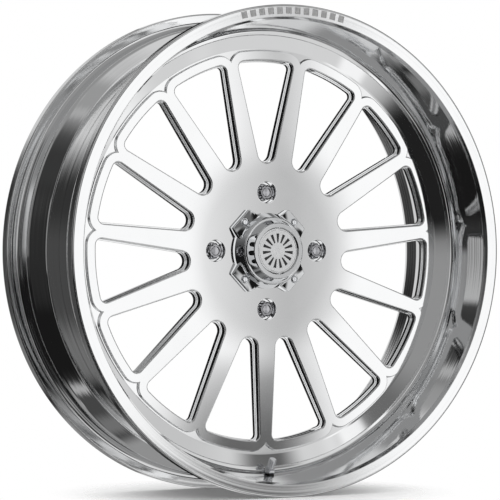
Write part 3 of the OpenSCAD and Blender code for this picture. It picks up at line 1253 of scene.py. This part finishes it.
    def bore_wall(self, shell: Shell) -> tuple[Loop, Loop]:
        """Makes the wall of the centring bore in the back.

        Args:
            shell: The shell to add to.

        Returns:
            The loop at its bottom and the loop at the back face.
        """
        r, low = 66.0, self.levels.mounting_face
        section = [Corner(r, low + 8), Corner(r, low + 0.8), Corner(r + 0.8, low)]
        return shell.hole((0, 0), 180, section)

    def ridge_wall(self, shell: Shell) -> list[int]:
        """Makes the scalloped step from the raised face down to the groove and fills the groove.

        Args:
            shell: The shell to add to.

        Returns:
            The loop at the top.
        """
        edge, toe = 0.9, 1.0
        quarter = np.radians(np.linspace(0, 90, 6))
        top = [
            shell.loop(self.ridge(edge * (1 - math.sin(q))),
                       lambda r, q=q: self.face_level(r) - edge * (1 - math.cos(q)))
            for q in quarter
        ]
        shell.wall(top)
        foot = [
            shell.loop(self.ridge(-toe * (1 - math.cos(q))), self.levels.valley + toe * (1 - math.sin(q)))
            for q in quarter
        ]
        shell.wall([top[-1], foot[0]])
        shell.wall(foot)
        groove = shell.loop(circle_points(270, 360), self.levels.valley)
        shell.fill(groove, [foot[-1]], flat(self.levels.valley), [])
        return top[0]

    def band(self, shell: Shell) -> None:
        """Makes the sloped band outside the groove, the edge against the barrel and the band's back.

        Args:
            shell: The shell to add to.
        """
        edge, low = self.levels.bore_r - 0.1, self.levels.mounting_face + 2
        section = [
            Corner(270, self.levels.valley), Corner(272, self.levels.valley + 0.6, 2.0),
            Corner(edge, self.levels.shoulder, 0.4), Corner(edge, low, 0.6), Corner(266, low, 3),
            Corner(self.back_end, low),
        ]
        rows = rounded(section, closed=False)
        shell.wall([shell.loop(circle_points(r, 360), level) for r, level, _ in rows])

    def weld(self) -> None:
        """Makes the rippled weld bead between the centre's back edge and the barrel."""
        level, r = self.levels.mounting_face + 1.95, self.levels.bore_r - 0.05
        ripple = 0.3
        section = [
            Corner(r, level), Corner(r - 7, level), Corner(r - 6.6, level - 2.4, 1.5, ripple),
            Corner(r - 4.4, level - 5.0, 1.5, ripple), Corner(r - 1.6, level - 6.8, 1.0, ripple),
            Corner(r, level - 7),
        ]
        rows = rounded(section, closed=True, steps=3, edge=0)
        mesh = self.shop.turn(rows, True, self.shop.finishes.weld, 2400, 300, 1.0)
        self.shop.piece("weld_ripples", mesh, Body.RIM.value, Slot.WELD, ("weld_bead",))


@dataclass
class LugNuts:
    """The four closed lug nuts with their splined drives."""

    shop: Workshop
    levels: Levels
    count: int = 4
    pcd: float = 156.0

    def section(self) -> list[Corner]:
        """Gives one nut's section, from inside its thread to the middle of its end.

        Returns:
            The corners.
        """
        tip, end = self.levels.mounting_face + 5.3, self.levels.hub_face - 0.5
        collar = tip + 5.2
        drive = collar + 2
        return [
            Corner(0, end - 3), Corner(6.1, end - 3, 0.4), Corner(6.1, tip, 0.3), Corner(7.9, tip, 0.3),
            Corner(10.9, collar, 0.5), Corner(10.9, drive, 0.4), Corner(10.3, drive),
            Corner(10.3, drive + 1.2), Corner(10.3, drive + 2.2, 0.0, 1.5), Corner(10.3, end - 1.8, 0.5, 1.5),
            Corner(8.4, end, 0.5, 0.9), Corner(6.4, end, 0.4), Corner(5.2, end - 0.8, 0.4),
            Corner(0, end - 0.9),
        ]

    def build(self) -> None:
        """Makes each nut on its own body."""
        finish = self.shop.finishes.nuts
        for k in range(self.count):
            rows = rounded(self.section(), closed=False, steps=4, edge=0.15)
            nut = self.shop.turn(rows, False, finish, 144, 6, 1.6)
            nut.transform(Matrix.Translation((0, 0, self.pcd / 2 * MM)))
            placed = self.shop.repeat(nut, 1, finish, k * 360 / self.count)
            name = f"lug_nut_{k + 1}"
            self.shop.piece(f"{name}_splined", tidy(placed), name, Slot.CHROME, (name,))


@dataclass
class CentreCap:
    """The bolted centre cap: base with four feet, bezel, medallion, inlay, screws and O-ring."""

    shop: Workshop
    levels: Levels
    body_h: float = 19.2
    cap_h: float = 31.2
    foot_h: float = 9.5
    foot_slope: float = 12.0
    slope_from: float = 46.0
    seat_depth: float = 3.4
    screw_at: float = 38.0
    inlay_bars: int = 15

    @property
    def screw_seat(self) -> float:
        """Level under the screws' heads."""
        return self.levels.hub_face + self.foot_h - self.seat_depth

    def foot_outline(self, inset: float) -> Outline:
        """Gives one foot's outline, pointing up.

        Args:
            inset: How far it is taken in all round.

        Returns:
            The outline, anticlockwise from inside the cap's body.
        """
        tip, half, waist, root = 60.5, 17.5, 21.0, 24.0
        plan = np.array([
            (-root, 30.0), (root, 30.0), (waist, self.slope_from),
            (half, tip), (-half, tip), (-waist, self.slope_from),
        ])
        fillets = (0, 0, 0, 2.5, 2.5, 0)
        corners = [Corner(x, y, f) for (x, y), f in zip(inset_polygon(plan, inset), fillets)]
        return rounded(corners, True, edge=0)[:, :2]

    def foot_front(self, points: Outline) -> np.ndarray:
        """Gives the level of a foot's front, which falls away towards its tip.

        Args:
            points: Places on the foot.

        Returns:
            The levels.
        """
        fall = math.tan(math.radians(self.foot_slope))
        top = self.levels.hub_face + self.foot_h
        return top - fall * np.maximum(points[:, 1] - self.slope_from, 0)

    def foot(self) -> bpy.types.Mesh:
        """Makes one diagonal foot, pointing up: round edges, a falling front and a screw's counterbore.

        Returns:
            The mesh.
        """
        soft, throat_r, hole_r, steps = 0.8, 5.3, 2.8, 48
        base, seat = self.levels.hub_face, self.screw_seat
        shell = Shell()
        crown = []
        for q in np.radians(np.linspace(0, 90, 6)):
            edge = self.foot_outline(soft * (1 - math.sin(q)))
            crown.append(shell.loop(edge, self.foot_front(edge) - soft * (1 - math.cos(q))))
        shell.wall(crown)
        bottom = shell.loop(self.foot_outline(0), base)
        shell.wall([crown[-1], bottom])
        centre = (0.0, self.screw_at * math.sqrt(2))
        mouth, throat = circle_points(throat_r + 0.3, steps, centre), circle_points(throat_r, steps, centre)
        hole = circle_points(hole_r, steps, centre)
        rim, under = shell.loop(mouth, self.foot_front(mouth)), shell.loop(hole, base)
        shell.wall([rim, shell.loop(throat, self.foot_front(throat) - 0.3), shell.loop(throat, seat)])
        shell.wall([shell.loop(throat, seat), shell.loop(hole, seat)])
        shell.wall([shell.loop(hole, seat), under])
        top = crown[0]
        shell.fill(top[:3] + top[-1:], [], flat(base + self.foot_h), [])
        shell.fill(top[2:], [rim], flat(base + self.foot_h), [])
        shell.fill(bottom, [under], flat(base), [])
        return shell.mesh("foot")

    def base(self) -> None:
        """Makes the base: a turned body joined to its four feet."""
        finish = self.shop.finishes.chrome
        face, top = self.levels.hub_face, self.levels.hub_face + self.body_h
        section = [
            Corner(34, face - 5, 0.3), Corner(38, face - 5, 0.5), Corner(38, face - 3.8),
            Corner(36.2, face - 3.8), Corner(36.2, face - 1.3), Corner(38, face - 1.3), Corner(38, face),
            Corner(50.5, face), Corner(50.5, face + 2.5, 1.5), Corner(45, top - 1.2, 1.0),
            Corner(43.8, top, 0.6), Corner(34, top),
        ]
        body = self.shop.turn(rounded(section, True), True, finish, 288)
        feet = self.shop.repeat(self.foot(), 4, finish, 45, 90)
        mesh = combine(body, feet, "UNION", finish, 24)
        self.shop.piece("cap_base_polished", mesh, Body.CAP.value, Slot.CHROME, ("cap_base",))

    def bezel(self) -> None:
        """Makes the bezel above the base."""
        face = self.levels.hub_face
        body, top = face + self.body_h, face + self.cap_h
        section = [
            Corner(0, top - 7), Corner(30, top - 7, 0.5), Corner(30, face + 4), Corner(33.9, face + 4),
            Corner(33.9, body), Corner(41.8, body, 0.4), Corner(37.4, top - 1.2, 0.5),
            Corner(36.4, top, 0.5), Corner(31.4, top, 0.4), Corner(30.05, top - 1.4, 0.3),
            Corner(30.05, top - 3.5), Corner(0, top - 3.5),
        ]
        mesh = self.shop.turn(rounded(section, False), False, self.shop.finishes.chrome, 288)
        self.shop.piece("cap_bezel_polished", mesh, Body.CAP.value, Slot.CHROME, ("cap_bezel",))

    def medallion(self) -> None:
        """Makes the satin disc and its ring of plain black bars."""
        finishes = self.shop.finishes
        top = self.levels.hub_face + self.cap_h - 2
        disc = [
            Corner(0, top - 1.45), Corner(29.9, top - 1.45), Corner(29.9, top, 0.4), Corner(28.6, top),
            Corner(28.3, top - 0.3), Corner(27.7, top - 0.3), Corner(27.4, top), Corner(0, top),
        ]
        plate = self.shop.turn(rounded(disc, False), False, finishes.medallion, 240)
        self.shop.piece("medallion_disc", plate, Body.CAP.value, Slot.MEDALLION, ("cap_medallion",))
        shell = Shell()
        plan = np.array([(-0.9, 11.0), (0.9, 11.0), (2.2, 23.0), (-2.2, 23.0)])
        raised = shell.loop(inset_polygon(plan, 0.12), top + 0.08)
        shoulder = shell.loop(plan, top)
        low = shell.loop(plan, top - 0.3)
        shell.wall([raised, shoulder])
        shell.wall([shoulder, low])
        for ring, level in ((raised, top), (low, top - 0.3)):
            shell.fill(ring, [], flat(level), [])
        step = 360 / self.inlay_bars
        bars = self.shop.repeat(shell.mesh("bar"), self.inlay_bars, finishes.enamel, 0, step)
        self.shop.piece("medallion_bars", bars, Body.CAP.value, Slot.INLAY, ("medallion_inlay",))

    def screws(self) -> None:
        """Makes the four button-head screws with hexagon sockets."""
        finish = self.shop.finishes.steel
        seat = self.screw_seat
        section = [
            Corner(0, seat - 18), Corner(2.0, seat - 18, 0.2), Corner(2.5, seat - 17.5), Corner(2.5, seat),
            Corner(4.75, seat), Corner(4.75, seat + 0.5, 0.3), Corner(4.1, seat + 1.8, 1.6),
            Corner(3.1, seat + 2.7, 1.0), Corner(0, seat + 2.75),
        ]
        screw = self.shop.turn(rounded(section, False, edge=0), False, finish, 60)
        shell = Shell()
        hexagon = circle_points(1.73, 6)
        loops = [shell.loop(hexagon, seat + 1.2), shell.loop(hexagon, seat + 4)]
        shell.wall(loops)
        for ring, level in zip(loops, (seat + 1.2, seat + 4)):
            shell.fill(ring, [], flat(level), [])
        screw = combine(screw, shell.mesh("socket"), "DIFFERENCE", finish)
        screw.transform(Matrix.Translation((0, 0, self.screw_at * math.sqrt(2) * MM)))
        mesh = self.shop.repeat(screw, 4, finish, 45, 90)
        self.shop.piece("cap_screws_socket", mesh, Body.SCREWS.value, Slot.CHROME, ("cap_screws",))

    def build(self) -> None:
        """Makes the whole cap."""
        self.base()
        self.bezel()
        self.medallion()
        self.screws()
        self.shop.dress("cap_o_ring", self.shop.finishes.rubber)


# ---- Studio ----


def soft_edge(g: Graph, value: bpy.types.NodeSocket, start: float, end: float) -> bpy.types.NodeSocket:
    """Falls smoothly from 1 to 0.

    Args:
        g: The graph to add to.
        value: What it depends on.
        start: Where it starts to fall.
        end: Where it reaches 0.

    Returns:
        The result's socket.
    """
    return g.add("ShaderNodeMapRange", {"interpolation_type": "SMOOTHSTEP"}, Value=value, From_Min=start,
                 From_Max=end, To_Min=1.0, To_Max=0.0).outputs[0]


@dataclass(frozen=True)
class Flag:
    """A dark or bright patch of the studio, by direction: its middle, half-widths and strength."""

    azimuth: float
    elevation: float
    half_wide: float
    half_high: float
    level: float
    soft: float = 3.0

    def mask(self, g: Graph, way: bpy.types.NodeSocket, angles: tuple[bpy.types.NodeSocket, ...],
             ) -> bpy.types.NodeSocket:
        """Gives the flag's mask, 1 inside and 0 outside.

        Args:
            g: The world's graph.
            way: The direction; not used.
            angles: Its azimuth and elevation in degrees.

        Returns:
            The mask's socket.
        """
        across = g.math("WRAP", g.math("SUBTRACT", angles[0], self.azimuth), 180.0, -180.0)
        up = g.math("SUBTRACT", angles[1], self.elevation)
        sides = [
            soft_edge(g, g.math("ABSOLUTE", value), half - self.soft, half + self.soft)
            for value, half in ((across, self.half_wide), (up, self.half_high))
        ]
        return g.math("MULTIPLY", *sides)


@dataclass(frozen=True)
class Spot(Flag):
    """A round flag, whose half-width is its radius."""

    def mask(self, g: Graph, way: bpy.types.NodeSocket, angles: tuple[bpy.types.NodeSocket, ...],
             ) -> bpy.types.NodeSocket:
        """Gives the spot's mask, 1 inside and 0 outside.

        Args:
            g: The world's graph.
            way: The direction.
            angles: Its azimuth and elevation in degrees.

        Returns:
            The mask's socket.
        """
        a, e = math.radians(self.azimuth), math.radians(self.elevation)
        axis = (math.sin(a) * math.cos(e), -math.cos(a) * math.cos(e), math.sin(e))
        along = g.add("ShaderNodeVectorMath", {"operation": "DOT_PRODUCT"}, i0=way, i1=axis).outputs["Value"]
        away = g.math("MULTIPLY", g.math("ARCCOSINE", along), 180 / math.pi)
        return soft_edge(g, away, self.half_wide - self.soft, self.half_wide + self.soft)


@dataclass(frozen=True)
class Ring:
    """A narrow ring of tone round the wheel's axis: its angle off -Y, half-widths in degrees and strength."""

    angle: float
    core: float
    reach: float
    level: float


@dataclass
class Studio:
    """Floor, surround and camera."""

    floor_z: float = -0.3245
    camera_azimuth: float = -30.553
    distance: float = 4.11456
    lens: float = 225.18
    sensor: float = 36.0
    offset: tuple[float, float] = (-0.0568, 0.0011)
    surround: float = 0.30
    rings_end: float = 0.38
    rings: tuple[Ring, ...] = (Ring(30.5, 1.2, 2.6, 1.0), Ring(149.5, 2.0, 3.4, 0.006))
    flags: tuple[Flag, ...] = (
        Flag(-88, 16, 60, 26, 0.085, 5), Flag(-46, 34, 18, 18, 0.30, 5), Flag(-164, 14, 16, 16, 0.035, 5),
        Flag(-126, 27, 14, 10, 0.04, 5), Flag(-160, 56, 22, 12, 0.34, 5), Flag(-90, -28, 90, 25, 0.010, 5),
        Flag(-156, -30, 15, 36, 0.065, 5), Flag(-167, -34, 6, 26, 0.17, 4), Flag(-68, -1, 24, 9, 0.035, 4),
        Flag(-18, -54, 30, 9, 0.04, 4), Flag(-30, -41, 14, 6, 0.07, 4), Flag(-116, 2, 8, 22, 0.025, 3),
        Flag(-76, 16, 5, 10, 0.06, 2),
        Flag(-90, 20, 2.6, 22, 0.28, 1.2), Flag(-48, 15, 4, 15, 0.30, 2), Flag(-130, 5, 3, 12, 0.45, 1.5),
        Flag(-144, 0, 2.2, 58, 0.42, 1.6), Flag(-82, -38, 3, 12, 0.12, 2), Flag(-63, 5, 1.6, 14, 0.32, 1),
        Flag(-30, 8, 6, 9, 0.6, 3), Flag(0, -13, 9, 10, 0.015, 2), Flag(38, -6, 28, 54, 0.70, 5),
        Flag(91, 0, 27, 72, 0.008, 4), Flag(54, -28, 8, 16, 1.0, 3), Flag(34, 30, 5, 5, 0.13, 3),
        Flag(16, 26, 5, 6, 0.9, 3), Flag(158, 18, 38, 34, 0.66, 6), Flag(140, 0, 18, 14, 0.92, 4),
        Spot(30.5, 0, 23, 0, 0.010, 1.5), Flag(12, 20, 7, 7, 0.155, 3), Flag(49, 18, 7, 7, 0.6, 3),
        Flag(49, -18, 7, 7, 0.7, 3), Flag(29.8, 0, 7.2, 9.5, 1.06, 1.0), Flag(30.5, 0, 1.9, 2.2, 0.8, 0.8),
        Flag(30.5, 1, 0.7, 12, 0.48, 1.2), Flag(29.5, -6.5, 2.0, 2.6, 0.13, 1.4),
    )

    def floor(self) -> None:
        """Lays a pale floor that fades into the surround."""
        material = bpy.data.materials.new("pale_floor")
        material.use_nodes = True
        material.node_tree.nodes.clear()
        g = Graph(material.node_tree)
        place = g.add("ShaderNodeTexCoord").outputs["Object"]
        reach = g.add("ShaderNodeVectorMath", {"operation": "LENGTH"}, i0=place).outputs["Value"]
        fade = g.add("ShaderNodeMapRange", {"interpolation_type": "SMOOTHSTEP"}, Value=reach, From_Min=0.33,
                     From_Max=0.43, To_Min=0.0, To_Max=1.0).outputs[0]
        paint = g.add("ShaderNodeBsdfDiffuse", Color=(0.99, 0.99, 0.99, 1.0))
        clear = g.add("ShaderNodeBsdfTransparent")
        seen = g.add("ShaderNodeLightPath").outputs["Is Camera Ray"]
        hidden = g.math("SUBTRACT", 1.0, g.math("MULTIPLY", seen, g.math("SUBTRACT", 1.0, fade)))
        mix = g.add("ShaderNodeMixShader", i0=hidden, i1=paint.outputs[0], i2=clear.outputs[0])
        g.add("ShaderNodeOutputMaterial", Surface=mix.outputs[0])
        work = bmesh.new()
        bmesh.ops.create_circle(work, cap_ends=True, radius=1.4, segments=96)
        mesh = bpy.data.meshes.new("floor")
        work.to_mesh(mesh)
        work.free()
        mesh.transform(Matrix.Translation((0, 0, self.floor_z)))
        mesh.materials.append(material)
        floor = bpy.data.objects.new("floor", mesh)
        bpy.context.scene.collection.objects.link(floor)

    def over(self, g: Graph, tone: object, mask: bpy.types.NodeSocket, level: float) -> bpy.types.NodeSocket:
        """Lays a level over a tone through a mask."""
        keep = g.math("MULTIPLY", g.math("SUBTRACT", 1.0, mask), tone)
        return g.math("ADD", keep, g.math("MULTIPLY", mask, level))

    def surround_world(self) -> None:
        """Lights the scene from all round, white to the camera, with dark and bright flags in the gloss."""
        world = bpy.data.worlds.new("studio")
        bpy.context.scene.world = world
        world.use_nodes = True
        world.node_tree.nodes.clear()
        g = Graph(world.node_tree)
        way = g.add("ShaderNodeTexCoord").outputs["Generated"]
        part = g.add("ShaderNodeSeparateXYZ", i0=way).outputs
        outboard = g.math("MULTIPLY", part["Y"], -1.0)
        azimuth = g.math("MULTIPLY", g.math("ARCTAN2", part["X"], outboard), 180 / math.pi)
        elevation = g.math("MULTIPLY", g.math("ARCSINE", part["Z"]), 180 / math.pi)
        tone: object = self.surround
        for flag in self.flags:
            mask = flag.mask(g, way, (azimuth, elevation))
            tone = self.over(g, tone, mask, flag.level)
        off_axis = g.math("MULTIPLY", g.math("ARCCOSINE", outboard), 180 / math.pi)
        left = g.math("LESS_THAN", part["X"], self.rings_end)
        for ring in self.rings:
            away = g.math("ABSOLUTE", g.math("SUBTRACT", off_axis, ring.angle))
            mask = g.math("MULTIPLY", soft_edge(g, away, ring.core, ring.reach), left)
            tone = self.over(g, tone, mask, ring.level)
        world.cycles.sampling_method = "NONE"
        gloss = g.add("ShaderNodeLightPath").outputs["Is Glossy Ray"]
        strength = g.add("ShaderNodeMix", {"data_type": "FLOAT"}, Factor=gloss, A=1.0, B=tone).outputs[0]
        light = g.add("ShaderNodeBackground", Color=(1.0, 1.0, 1.0, 1.0), Strength=strength)
        g.add("ShaderNodeOutputWorld", Surface=light.outputs[0])

    def camera(self, lip_level: float) -> None:
        """Sets the camera at its angle to the wheel.

        Args:
            lip_level: Distance of the outboard lip's plane from the middle of the rim, in metres.
        """
        a = math.radians(self.camera_azimuth)
        back = Vector((math.sin(a), -math.cos(a), 0.0))
        right = Vector((math.cos(a), math.sin(a), 0.0))
        eye = Vector((0.0, -lip_level, 0.0)) + back * self.distance
        target = Vector((0.0, -lip_level, 0.0)) + right * self.offset[0] + Vector((0, 0, self.offset[1]))
        data = bpy.data.cameras.new("camera")
        data.lens = self.lens
        data.sensor_width = self.sensor
        data.clip_end = 100.0
        camera = bpy.data.objects.new("camera", data)
        camera.location = eye
        camera.rotation_euler = (target - eye).to_track_quat("-Z", "Y").to_euler()
        bpy.context.scene.collection.objects.link(camera)
        bpy.context.scene.camera = camera

    def build(self, lip_level: float) -> None:
        """Makes the floor, the surround and the camera.

        Args:
            lip_level: Distance of the outboard lip's plane from the middle of the rim, in metres.
        """
        self.floor()
        self.surround_world()
        self.camera(lip_level)
        bpy.context.scene.view_settings.view_transform = "Standard"


def main() -> None:
    """Builds the wheel and the studio."""
    logging.basicConfig(level=logging.INFO, format="%(name)s: %(message)s")
    shop = Workshop()
    levels = Levels()
    levels.check()
    valve = Valve(shop)
    Barrel(shop, levels, valve).build()
    ForgedCentre(shop, levels).build()
    LugNuts(shop, levels).build()
    CentreCap(shop, levels).build()
    valve.build()
    Studio().build(levels.half_width * MM)


if __name__ == "__main__":
    main()
